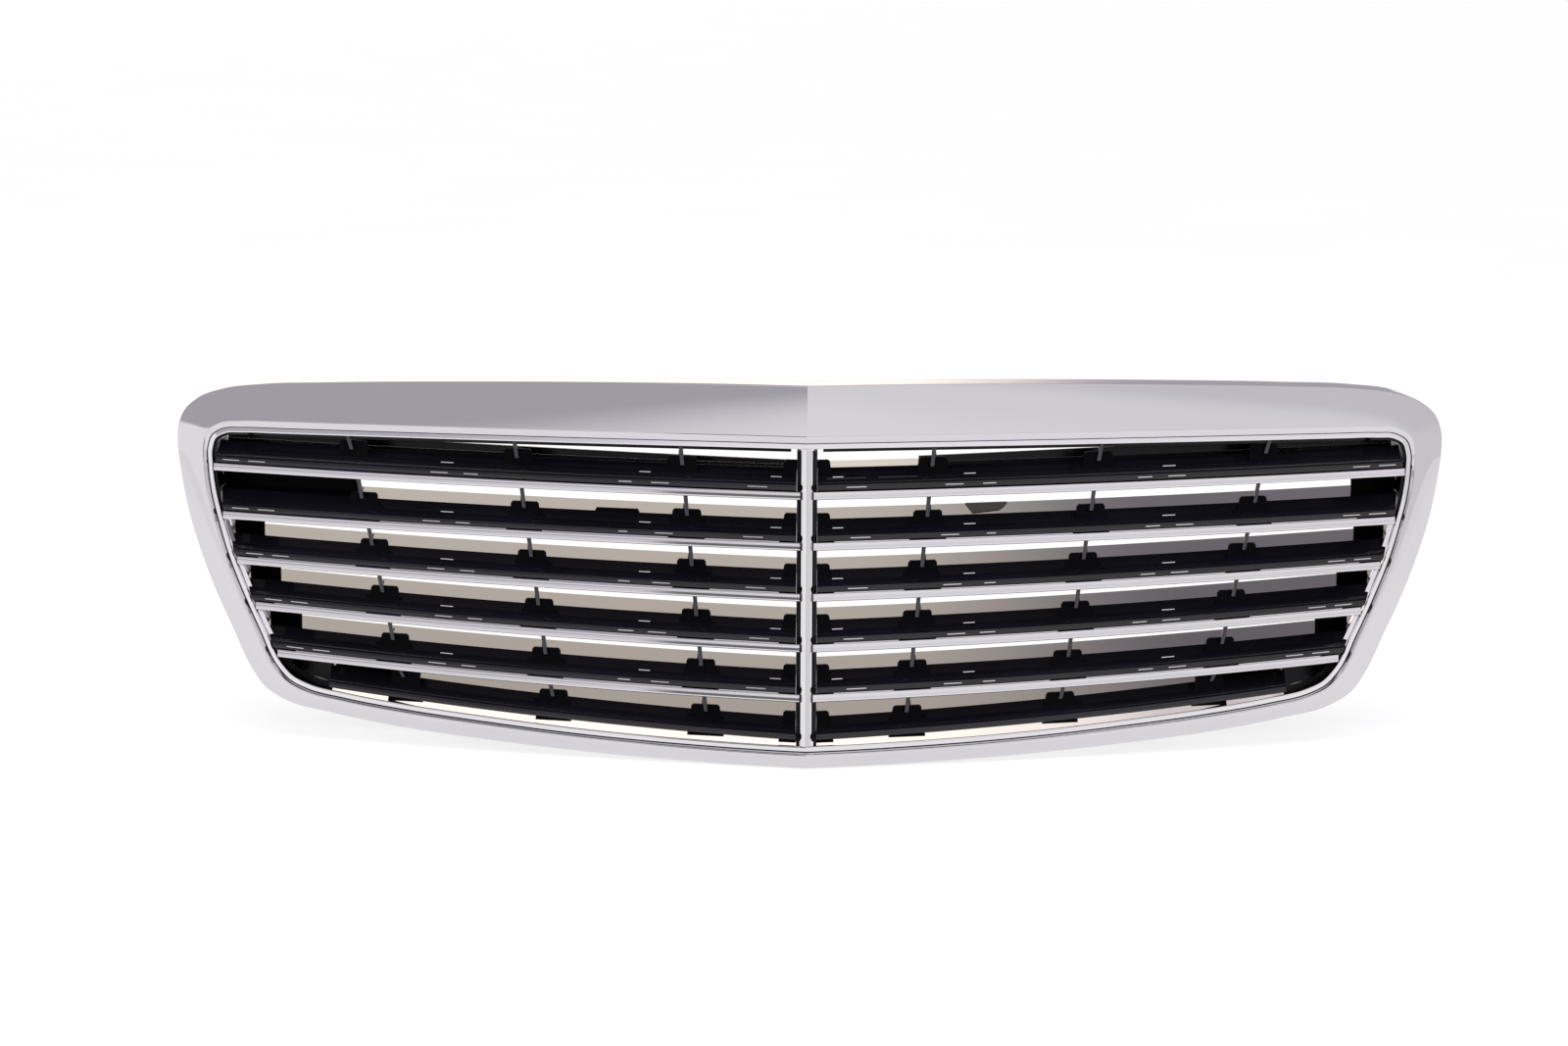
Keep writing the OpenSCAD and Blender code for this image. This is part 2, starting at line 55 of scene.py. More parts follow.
# ---------------------------------------------------------------- shape of the grille, as in the CAD
DATUM = np.array([0.0, 156.0, 98.5])
OUTER = [(0, 111), (60, 110.8), (140, 109.3), (220, 106.8), (300, 103.3), (345, 100.4), (371, 96.5), (387, 90.5),
         (396.5, 82), (400, 71), (399.6, 60), (396.5, 40), (392, 20), (384, -4), (374, -28), (362, -52), (350, -75),
         (341, -86), (325, -94.2), (298, -99.2), (254, -105), (200, -109.3), (140, -113), (70, -115.5), (0, -116.4)]
INNER = [(0, 74.2), (58, 74), (136, 73.4), (213, 72.7), (290, 71.8), (334, 71.2), (356, 70.8), (368, 69.6),
         (373.4, 66.4), (375.4, 61), (375.4, 50), (373, 33), (369, 18), (361.5, -5), (352, -27), (341, -49.5),
         (329.5, -71), (322.5, -77.8), (311, -82.6), (289, -86.4), (248, -91.2), (197, -95.4), (138, -99.4),
         (69, -102.2), (0, -103.4)]
OUTER = [np.array(p, float) for p in OUTER]
INNER = [np.array(p, float) for p in INNER]
NP = len(OUTER)
LAND_W, LAND_D, SHELL, SKIRT, TOP_ROLL = 3.4, 2.2, 2.6, 44.0, 14.0
BLADE_D, BLADE_T, RIB_T, STRIP_H, BAR_W = 48.0, 2.2, 2.6, 5.2, 3.5
X0 = BAR_W + 0.6


def front(x, z):
    return 0.20 * abs(x) + 0.00022 * x * x + 0.14 * z


def at(x, z, d):
    """Front elevation x, z and a depth behind the front surface, in millimetres, to the row frame in metres."""
    return ((x - DATUM[0]) / 1000, (front(x, z) + d - DATUM[1]) / 1000, (z - DATUM[2]) / 1000)


def _pt(P, i):
    n = len(P)
    if i < 0:
        return np.array([-P[1][0], P[1][1]])
    if i >= n:
        return np.array([-P[n - 2][0], P[n - 2][1]])
    return P[i]


def _hh(P, i):
    return float(np.linalg.norm(_pt(P, i + 1) - _pt(P, i)))


def _tan(P, i):
    a, b = _hh(P, i - 1), _hh(P, i)
    return ((_pt(P, i + 1) - _pt(P, i)) / b * a + (_pt(P, i) - _pt(P, i - 1)) / a * b) / (a + b)


def herm(P, i, u):
    h, a, b = _hh(P, i), _pt(P, i), _pt(P, i + 1)
    return ((2 * u ** 3 - 3 * u * u + 1) * a + (u ** 3 - 2 * u * u + u) * h * _tan(P, i)
            + (3 * u * u - 2 * u ** 3) * b + (u ** 3 - u * u) * h * _tan(P, i + 1))


def outward(P, i, u):
    d = herm(P, i, min(1, u + 0.02)) - herm(P, i, max(0, u - 0.02))
    n = np.array([-d[1], d[0]])
    return n / np.linalg.norm(n)


def stations(k):
    return [(i, j / k) for i in range(NP - 1) for j in range(k)] + [(NP - 2, 1.0)]


def ringpt(st, w, s=0.0):
    a, b, n = herm(INNER, *st), herm(OUTER, *st), outward(INNER, *st)
    p = a + n * w
    return p + (b - p) * s


def inset(st, w):
    return herm(OUTER, *st) - outward(OUTER, *st) * w


def topness(st):
    z = herm(OUTER, *st)[1]
    return max(0.0, min(1.0, (z - 60) / 40))


def footness(st):
    z = herm(OUTER, *st)[1]
    return max(0.0, min(1.0, (-70 - z) / 25))


ZC = [46.4, 16.1, -14.3, -44.6, -74.6, -102.6]
RISE = [2, 2.5, 5, 7.7, 9.5, 18]
RIBS = [(76, 3), (179, 4.6), (285, 6.8)]
OPEN = {"right": [0, 343, 345, 334, 320, 242], "left": [0, 283, 345, 334, 320, 242]}


def zmid(i, x):
    t = abs(x) / 320
    return ZC[i] + RISE[i] * (0.4 * t + 0.6 * t * t)


def znose(i, x):
    return zmid(i, x) + STRIP_H / 2


_HZ = sorted((INNER[i][1], INNER[i][0]) for i in range(5, NP))


def halfw(z):
    return float(np.interp(z, [p[0] for p in _HZ], [p[1] for p in _HZ]))


def crease(i):
    return 12.9 if i == 0 else 12.4


def back_z(i):
    return 12.6 if i == 0 else 14.4


CREASE_D = 12.5


def foot_top(i):
    return 18.3 if i == 0 else 16.6


def side_slope(i):
    return (halfw(znose(i, 340) + 12) - halfw(znose(i, 340) - 3)) / 15


def rib_x(i, k):
    return RIBS[k][0] - RIBS[k][1] * (i + 0.5)


def over(i, d):
    return float(np.interp(d, [2.4, CREASE_D, BLADE_D], [4.6, crease(i), back_z(i)]))


def under(i, d):
    return float(np.interp(d, [6.6, CREASE_D + 0.8, BLADE_D], [3.4, crease(i) - BLADE_T, back_z(i) - BLADE_T]))


# ---------------------------------------------------------------- mesh helpers
def fillet(P, radii, n=4):
    """A closed 2-D outline with its corners rounded: radii gives each corner's radius."""
    out = []
    m = len(P)
    for i in range(m):
        p, a, b = np.array(P[i], float), np.array(P[i - 1], float), np.array(P[(i + 1) % m], float)
        r = radii[i] if isinstance(radii, (list, tuple)) else radii
        u, v = a - p, b - p
        lu, lv = np.linalg.norm(u), np.linalg.norm(v)
        if r <= 0 or lu < 1e-6 or lv < 1e-6:
            out.append(tuple(p))
            continue
        u, v = u / lu, v / lv
        c = max(-1.0, min(1.0, float(u @ v)))
        ang = math.acos(c)
        if ang > math.pi - 0.06:
            out.append(tuple(p))
            continue
        t = min(r / math.tan(ang / 2), 0.48 * lu, 0.48 * lv)
        rr = t * math.tan(ang / 2)
        bis = (u + v) / np.linalg.norm(u + v)
        ctr = p + bis * (rr / math.sin(ang / 2))
        s0, s1 = p + u * t, p + v * t
        a0 = math.atan2(*(s0 - ctr)[::-1])
        a1 = math.atan2(*(s1 - ctr)[::-1])
        da = (a1 - a0 + math.pi) % (2 * math.pi) - math.pi
        for k in range(n + 1):
            w = a0 + da * k / n
            out.append((ctr[0] + rr * math.cos(w), ctr[1] + rr * math.sin(w)))
    full = []
    for j, p in enumerate(out):
        q = out[(j + 1) % len(out)]
        full.append(p)
        h = math.hypot(q[0] - p[0], q[1] - p[1])
        if h > 0.7:
            t = min(0.2, 0.25 / h)
            full.append((p[0] + (q[0] - p[0]) * t, p[1] + (q[1] - p[1]) * t))
            full.append((q[0] - (q[0] - p[0]) * t, q[1] - (q[1] - p[1]) * t))
    return full


class Build:
    """Collects closed sweeps into one mesh object."""

    def __init__(self):
        self.v, self.f = [], []

    def sweep(self, sections, closed=False):
        n, k, o = len(sections), len(sections[0]), len(self.v)
        for s in sections:
            self.v.extend(tuple(float(c) for c in p) for p in s)
        for i in range(n if closed else n - 1):
            for j in range(k):
                a, b = o + i * k + j, o + i * k + (j + 1) % k
                c, d = o + ((i + 1) % n) * k + j, o + ((i + 1) % n) * k + (j + 1) % k
                self.f.append((a, b, d, c))
        if not closed:
            self.f.append(tuple(o + j for j in range(k))[::-1])
            self.f.append(tuple(o + (n - 1) * k + j for j in range(k)))

    def ring(self, half):
        """half: sections from the top of the ridge round the right side to the foot; the left side mirrors it."""
        full = list(half) + [[(-p[0], p[1], p[2]) for p in s] for s in half[-2:0:-1]]
        self.sweep(full, closed=True)

    def cyl(self, x, y0, z, prof, n=40):
        """A lathe along +Y from (x, y0, z), millimetres in the elevation frame: prof is (y, radius)."""
        o = len(self.v)
        for (y, r) in prof:
            for j in range(n):
                a = 2 * math.pi * j / n
                self.v.append(((x + r * math.cos(a)) / 1000, (y0 + y - DATUM[1]) / 1000, (z - DATUM[2] + r * math.sin(a)) / 1000))
        for i in range(len(prof) - 1):
            for j in range(n):
                self.f.append((o + i * n + j, o + i * n + (j + 1) % n, o + (i + 1) * n + (j + 1) % n, o + (i + 1) * n + j))
        self.f.append(tuple(o + j for j in range(n))[::-1])
        self.f.append(tuple(o + (len(prof) - 1) * n + j for j in range(n)))

    def make(self, name, mat, mirror=False, sharp=28, body="grille", bevel=0.0):
        me = bpy.data.meshes.new(name)
        V = [(max(-0.4, min(0.4, -p[0] if mirror else p[0])), p[1], p[2]) for p in self.v]
        me.from_pydata(V, [], self.f)
        me.validate()
        bm = bmesh.new()
        bm.from_mesh(me)
        bmesh.ops.recalc_face_normals(bm, faces=bm.faces[:])
        lim = math.radians(sharp)
        for f in bm.faces:
            f.smooth = True
        for e in bm.edges:
            if len(e.link_faces) == 2:
                e.smooth = e.calc_face_angle(0.0) < lim
        bm.to_mesh(me)
        bm.free()
        ob = bpy.data.objects.new(name, me)
        bpy.context.collection.objects.link(ob)
        me.materials.append(mat)
        if bevel:
            m = ob.modifiers.new("edges", "BEVEL")
            m.width = bevel / 1000
            m.segments = 2
            m.limit_method = "ANGLE"
            m.angle_limit = math.radians(40)
            m.harden_normals = False
        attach(ob, body)
        return ob


# ---------------------------------------------------------------- materials
def new_mat(name):
    m = bpy.data.materials.new(name)
    m.use_nodes = True
    nt = m.node_tree
    return m, nt, nt.nodes["Principled BSDF"]


def noise(nt, scale, detail=3.0, rough=0.5, vec=None):
    n = nt.nodes.new("ShaderNodeTexNoise")
    n.inputs["Scale"].default_value = scale
    n.inputs["Detail"].default_value = detail
    n.inputs["Roughness"].default_value = rough
    if vec is not None:
        nt.links.new(vec, n.inputs["Vector"])
    return n


def coords(nt, scale=(1, 1, 1)):
    t = nt.nodes.new("ShaderNodeTexCoord")
    mp = nt.nodes.new("ShaderNodeMapping")
    mp.inputs["Scale"].default_value = scale
    nt.links.new(t.outputs["Object"], mp.inputs["Vector"])
    return mp.outputs["Vector"]


def ranged(nt, src, lo, hi):
    r = nt.nodes.new("ShaderNodeMapRange")
    r.inputs["To Min"].default_value = lo
    r.inputs["To Max"].default_value = hi
    nt.links.new(src, r.inputs["Value"])
    return r.outputs["Result"]


def ramp(nt, src, stops):
    r = nt.nodes.new("ShaderNodeValToRGB")
    e = r.color_ramp.elements
    while len(e) > 1:
        e.remove(e[0])
    e[0].position, e[0].color = stops[0][0], (*stops[0][1], 1)
    for p, c in stops[1:]:
        x = e.new(p)
        x.color = (*c, 1)
    nt.links.new(src, r.inputs["Fac"])
    return r.outputs["Color"]


def bump(nt, bsdf, src, strength, dist=0.0002):
    b = nt.nodes.new("ShaderNodeBump")
    b.inputs["Strength"].default_value = strength
    b.inputs["Distance"].default_value = dist
    nt.links.new(src, b.inputs["Height"])
    nt.links.new(b.outputs["Normal"], bsdf.inputs["Normal"])
    return b


def chrome(name, tint, rough=0.045, wave=0.02):
    m, nt, b = new_mat(name)
    v = coords(nt)
    big = noise(nt, 9, 2, 0.5, v)
    fine = noise(nt, 900, 3, 0.6, v)
    lo = [c * 0.975 for c in tint]
    nt.links.new(ramp(nt, big.outputs["Fac"], [(0.3, lo), (0.7, tint)]), b.inputs["Base Color"])
    b.inputs["Metallic"].default_value = 1.0
    nt.links.new(ranged(nt, fine.outputs["Fac"], rough * 0.8, rough * 1.35), b.inputs["Roughness"])
    peel = noise(nt, 60, 2, 0.5, v)
    bump(nt, b, peel.outputs["Fac"], wave, 0.0004)
    return m


def gloss(name, base, rough=0.09, ior=1.6):
    m, nt, b = new_mat(name)
    v = coords(nt)
    n1 = noise(nt, 12, 3, 0.6, v)
    lift = [c * 1.5 + 0.0008 for c in base]
    nt.links.new(ramp(nt, n1.outputs["Fac"], [(0.35, base), (0.75, lift)]), b.inputs["Base Color"])
    b.inputs["IOR"].default_value = ior
    fine = noise(nt, 700, 4, 0.6, v)
    nt.links.new(ranged(nt, fine.outputs["Fac"], rough * 0.7, rough * 1.5), b.inputs["Roughness"])
    peel = noise(nt, 120, 2, 0.5, v)
    bump(nt, b, peel.outputs["Fac"], 0.03, 0.0003)
    return m


def matt(name, base, rough=0.6, grain=0.35, scale=1400):
    m, nt, b = new_mat(name)
    v = coords(nt)
    n1 = noise(nt, 30, 4, 0.6, v)
    nt.links.new(ramp(nt, n1.outputs["Fac"], [(0.3, [c * 0.8 for c in base]), (0.7, [c * 1.25 for c in base])]), b.inputs["Base Color"])
    vo = nt.nodes.new("ShaderNodeTexVoronoi")
    vo.inputs["Scale"].default_value = scale
    nt.links.new(v, vo.inputs["Vector"])
    nt.links.new(ranged(nt, vo.outputs["Distance"], rough * 0.85, rough * 1.15), b.inputs["Roughness"])
    bump(nt, b, vo.outputs["Distance"], grain, 0.00015)
    return m


def zinc(name, base, rough=0.34):
    m, nt, b = new_mat(name)
    v = coords(nt, (1, 1, 14))
    n1 = noise(nt, 260, 5, 0.7, v)
    sp = noise(nt, 45, 4, 0.65, coords(nt))
    nt.links.new(ramp(nt, sp.outputs["Fac"], [(0.3, [c * 0.82 for c in base]), (0.55, base), (0.8, [min(1, c * 1.12) for c in base])]), b.inputs["Base Color"])
    b.inputs["Metallic"].default_value = 1.0
    nt.links.new(ranged(nt, n1.outputs["Fac"], rough * 0.7, rough * 1.4), b.inputs["Roughness"])
    bump(nt, b, n1.outputs["Fac"], 0.12, 0.0001)
    return m


M_SURR = chrome("surround_chrome", (0.655, 0.645, 0.665), 0.05, 0.03)
M_BEZ = chrome("bezel_chrome", (0.75, 0.74, 0.76), 0.04, 0.015)
M_BAR = chrome("bar_chrome", (0.72, 0.715, 0.735), 0.04, 0.01)
M_STRIP = chrome("strip_chrome", (0.70, 0.69, 0.71), 0.045, 0.015)
M_BLADE = gloss("louvre_gloss_black", (0.0045, 0.004, 0.007), 0.07, 1.47)
M_FRAME = gloss("frame_gloss_black", (0.0045, 0.004, 0.006), 0.22, 1.3)
# near-black, barely reflecting: the feet and panels, and also the painted shade in the bezel gap and the painted
# reflection on blade 2's shelf
M_PLATE = gloss("foot_black_and_painted_shade", (0.0016, 0.0014, 0.002), 0.38, 1.10)
M_RIB = gloss("rib_satin_black", (0.03, 0.028, 0.033), 0.30, 1.5)
M_CARR = matt("carrier_black", (0.022, 0.022, 0.024), 0.55, 0.35)
M_LOCK = matt("lock_black", (0.035, 0.035, 0.038), 0.45, 0.25, 1800)
M_STEEL = zinc("bracket_steel", (0.55, 0.56, 0.58))
M_SCREW = zinc("screw_zinc", (0.62, 0.62, 0.60), 0.28)
M_FOAM = matt("foam", (0.02, 0.02, 0.021), 0.9, 0.9, 700)
M_RUB = matt("rubber", (0.018, 0.018, 0.018), 0.62, 0.2, 1600)


def swap(ob, mat):
    if not ob.material_slots:
        ob.data.materials.append(mat)
    for s in ob.material_slots:
        s.material = mat


# ---------------------------------------------------------------- surround
BOSSES = [(60, 92.5, 4.2), (175, 91, 4.2), (312, 86.5, 4.2), (385.5, 44, 4.2), (368.5, -14, 4.2), (339.8, -73.5, 4.2),
          (236, -98.2, 2.9), (95, -107.1, 2.9)]


def face_depth(st, s):
    t, f = topness(st), footness(st)
    return (t * TOP_ROLL * (0.45 * s + 0.55 * s * s) + (1 - t) * (1 - f) * 5 * (0.25 * s + 0.75 * s * s) + f * 2.6 * s * s)


def bevel_w(st):
    return 0.9 + 2.9 * topness(st) + 0.7 * (1 - topness(st)) * (1 - footness(st))


def surround_section(st):
    t, f = topness(st), footness(st)
    w0 = LAND_W + 0.25
    w1 = w0 + bevel_w(st)
    dO = face_depth(st, 1)
    A = ringpt(st, w0)
    E = ringpt(st, w1, 0)
    B = ringpt(st, w0 + SHELL)
    sec = []
    # bevel, with a small round at its outer end
    for u in (0.0, 0.12, 0.30, 0.5, 0.70, 0.85):
        p = A + (E - A) * u
        sec.append(at(p[0], p[1], (LAND_D - 0.3) * (1 - u) + 0.25 * math.sin(math.pi * u) * 0))
    for s, k in ((0.0, 0.14), (0.012, 0.05), (0.03, 0.01), (0.06, 0.0)):
        p = ringpt(st, w1, s)
        sec.append(at(p[0], p[1], face_depth(st, s) + k))
    for s in (0.12, 0.2, 0.3, 0.4, 0.5, 0.6, 0.7, 0.8, 0.88, 0.94, 0.965):
        p = ringpt(st, w1, s)
        sec.append(at(p[0], p[1], face_depth(st, s)))
    # outer round into the skirt
    p92 = ringpt(st, w1, 0.975)
    O = inset(st, 0)
    d92 = face_depth(st, 0.975)
    for k in range(0, 8):
        a = k / 7 * math.pi / 2
        q = p92 + (O - p92) * math.sin(a)
        sec.append(at(q[0], q[1], d92 + (dO + 1.6 - d92) * (1 - math.cos(a))))
    sec.append(at(O[0], O[1], dO + 2.4))
    O1 = inset(st, 0.4)
    sec.append(at(O[0], O[1], dO + 6))
    sec.append(at(*(O + (O1 - O) * 0.5), (dO + 6 + SKIRT) / 2))
    sec.append(at(O1[0], O1[1], SKIRT - 0.3))
    q = inset(st, 0.7)
    sec.append(at(q[0], q[1], SKIRT))
    q = inset(st, SHELL + 0.1)
    sec.append(at(q[0], q[1], SKIRT))
    q = inset(st, SHELL + 0.4)
    sec.append(at(q[0], q[1], SKIRT - 0.3))
    q = inset(st, SHELL)
    sec.append(at(q[0], q[1], dO + 7))
    for s in (0.8, 0.6, 0.35):
        p = ringpt(st, w1 + 0.4, s)
        sec.append(at(p[0], p[1], face_depth(st, s) + SHELL + 0.4))
    sec.append(at(B[0], B[1], LAND_D + SHELL))
    sec.append(at(B[0], B[1], 27))
    sec.append(at(A[0], A[1], 27))
    return sec


def boss(b, x, z, r, d0, d1, hole):
    p0, p1 = front(x, z) + d0, front(x, z) + d1
    b.cyl(x, p0, z, [(0, r), (p1 - p0 - 0.4, r), (p1 - p0, r - 0.4), (p1 - p0, hole + 0.01), (p1 - p0 - 9, hole)])


def build_surround():
    b = Build()
    b.ring([surround_section(st) for st in stations(9)])
    for sx in (-1, 1):
        for (x, z, r) in BOSSES:
            boss(b, sx * x, z, r, 9 if z > 80 else 5.5, 29.6, 1.6 if r < 4 else 2.05)
    ob = b.make("surround_shell_fine", M_SURR, sharp=16)
    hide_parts("surround_shell")
    return ob


# ---------------------------------------------------------------- inner bezel
def bezel_section(st):
    prof = [(LAND_W - 0.1, LAND_D + 1.1), (LAND_W - 0.2, LAND_D + 0.55), (LAND_W - 0.4, LAND_D + 0.3), (LAND_W - 0.6, LAND_D + 0.24), (1.0, LAND_D + 0.05), (0.85, LAND_D + 0.0),
            (0.5, LAND_D + 0.04), (0.18, LAND_D + 0.28), (0.03, LAND_D + 0.7), (0.0, LAND_D + 1.2),
            (0.0, 14), (0.0, 28), (2.0, 28), (2.0, LAND_D + 2.4), (LAND_W, LAND_D + 2.4)]
    out = []
    for w, d in prof:
        p = ringpt(st, w)
        out.append(at(p[0], p[1], d))
    return out


def build_bezel():
    b = Build()
    b.ring([bezel_section(st) for st in stations(9)])
    ob = b.make("inner_bezel_fine", M_BEZ, sharp=19)
    # painted shade: a near-black ring set in the gap between the bezel and the surround stands for the dark of the
    # groove
    g = Build()
    g.ring([[at(*ringpt(st, w), d) for w, d in ((LAND_W - 0.3, LAND_D + 0.85), (LAND_W - 0.3, LAND_D + 1.6), (LAND_W + 0.24, LAND_D + 1.6), (LAND_W + 0.24, LAND_D + 0.85))] for st in stations(5)])
    t = Build()
    for m in (1, -1):
        for i in (2, 3, 4):
            za, zb = znose(i, 345) + 4.6, znose(i - 1, 350) - 3.4
            secs = []
            for z in np.linspace(za, zb, 6):
                xo = halfw(z)
                sec = [at(xo - 0.1, z, 6.4), at(xo - 3.0, z, 7.2), at(xo - 3.0, z, 7.8), at(xo - 0.1, z, 7.4)]
                secs.append([(m * q[0], q[1], q[2]) for q in (sec if m == 1 else sec[::-1])])
            t.sweep(secs)
    to = t.make("bezel_returns", M_BEZ, sharp=40)
    go = g.make("bezel_gap_painted_shade", M_PLATE, sharp=40)
    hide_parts("inner_bezel")


# ---------------------------------------------------------------- centre bar
def build_bar():
    b = Build()
    prof = fillet([(0, -0.4), (BAR_W - 1.0, 1.0), (BAR_W, 2.2), (BAR_W, 6), (-BAR_W, 6), (-BAR_W, 2.2), (1.0 - BAR_W, 1.0)],
                  [0.35, 0.5, 0.5, 0.2, 0.2, 0.5, 0.5], 3)
    secs = []
    for z in np.linspace(-103, 73.8, 24):
        secs.append([((x) / 1000, (0.14 * z + y - DATUM[1]) / 1000, (z - DATUM[2]) / 1000) for x, y in prof])
    b.sweep(secs)
    ob = b.make("centre_bar_fine", M_BAR, sharp=40)
    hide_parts("centre_bar")


# ---------------------------------------------------------------- trim strips
STRIP_P = fillet([(2.2, -0.1), (0.55, -0.22), (0.0, -1.05), (0.28, -1.5), (-0.12, -2.2), (-0.15, 1.2 - STRIP_H), (0.6, 0.35 - STRIP_H), (2.6, -STRIP_H),
                  (4.3, -STRIP_H), (4.3, -0.1)], [0.2, 0.45, 0.3, 0.12, 0.35, 0.7, 0.5, 0.1, 0.1, 0.1], 4)
FEET = 1.8


def feet_ranges(i):
    out = [(X0, X0 + 12.6)]
    for k in range(3):
        c = rib_x(i, k) + FEET
        out.append((c - 11.3, c + 11.3))
    return out


def clear_ranges(i, side, end):
    """Stretches of blade i between its feet, where the row is open."""
    a, out = X0 + 2.5, []
    for lo, hi in feet_ranges(i):
        if lo > a:
            out.append((a, min(lo, end)))
        a = hi
        if a > end:
            break
    if a < end:
        out.append((a, end))
    return [r for r in out if r[1] - r[0] > 3]


def line(i, xa, xb, prof, step=9.0):
    n = max(2, int((xb - xa) / step) + 1)
    return [[at(x, znose(i, x) + p[1], p[0]) for p in prof] for x in np.linspace(xa, xb, n)]


def build_strips():
    for side in SIDES:
        for i in range(5):
            b = Build()
            xe = halfw(zmid(i, 345) - 2) - 0.45
            b.sweep(line(i, X0, xe, STRIP_P, 8.0))
            # the bright ledge above the strip, seen between the feet where the row is open
            end = OPEN[side][i] if i else 0
            for (a, c) in clear_ranges(i, side, end):
                b.sweep(line(i, a, c, fillet([(0.25, -0.1), (0.45, 0.4), (2.3, 0.5), (2.3, -0.1)], 0.08, 2), 9.0))
            # retaining tabs that show through slots in the nose, and small ones through the face
            sh = (0.0, 2.5, 1.0, -1.5, 0.5)[i]
            tabs = [(24 + sh, 36 + sh), (84 - sh, 95 - sh), (107 + sh, 115), (203 + 2 * sh, 212 + 2 * sh), (222 + 2 * sh, 233 + 2 * sh), (xe - 34, xe - 23), (xe - 17, xe - 6)]
            for (a, c) in tabs:
                b.sweep(line(i, a, c, fillet([(0.05, 2.1), (0.12, 2.65), (0.9, 2.65), (0.9, 2.1)], 0.08, 2), 5.0))
            for (a, c) in ((15.5, 22), (95.5, 102.5), (219, 227)):
                d = 6.3
                z = over(i, d)
                b.sweep(line(i, a, c, fillet([(d - 0.35, z - 0.15), (d - 0.3, z + 0.35), (d + 1.0, z + 0.35), (d + 1.0, z - 0.15)], 0.06, 2), 4.0))
            ob = b.make(f"trim_strip_{side}_{i + 1}_fine", M_STRIP, mirror=side == "left", sharp=50)
            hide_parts(f"trim_strip_{side}_{i + 1}")


# ---------------------------------------------------------------- louvres
def blade_prof(i):
    k = -4.4 if i < 5 else 0.0
    e, c = back_z(i), crease(i)
    P = [(3.0, 0.0), (1.0, 0.6), (0.15, 2.4), (0.8, 3.9), (2.4, 4.6), (CREASE_D, c), (BLADE_D - 0.6, e), (BLADE_D, e - 0.5), (BLADE_D, e - BLADE_T),
         (CREASE_D + 0.8, c - BLADE_T), (6.6, 3.4), (6.6, k), (4.6, k), (4.6, 0.0)]
    R = [0.2, 0.5, 0.9, 0.5, 0.35, 0.6, 0.3, 0.3, 0.3, 1.2, 0.5, 0.1, 0.1, 0]
    return fillet(P, R, 4)


def prism(b, pts, d0, d1, i, x, dz=0.0):
    """A flat plate across the row, from outline points (dx, z above the nose), between two depths."""
    b.sweep([[at(x + p[0], znose(i, x) + p[1] + dz, d) for p in pts] for d in (d0, d1)])


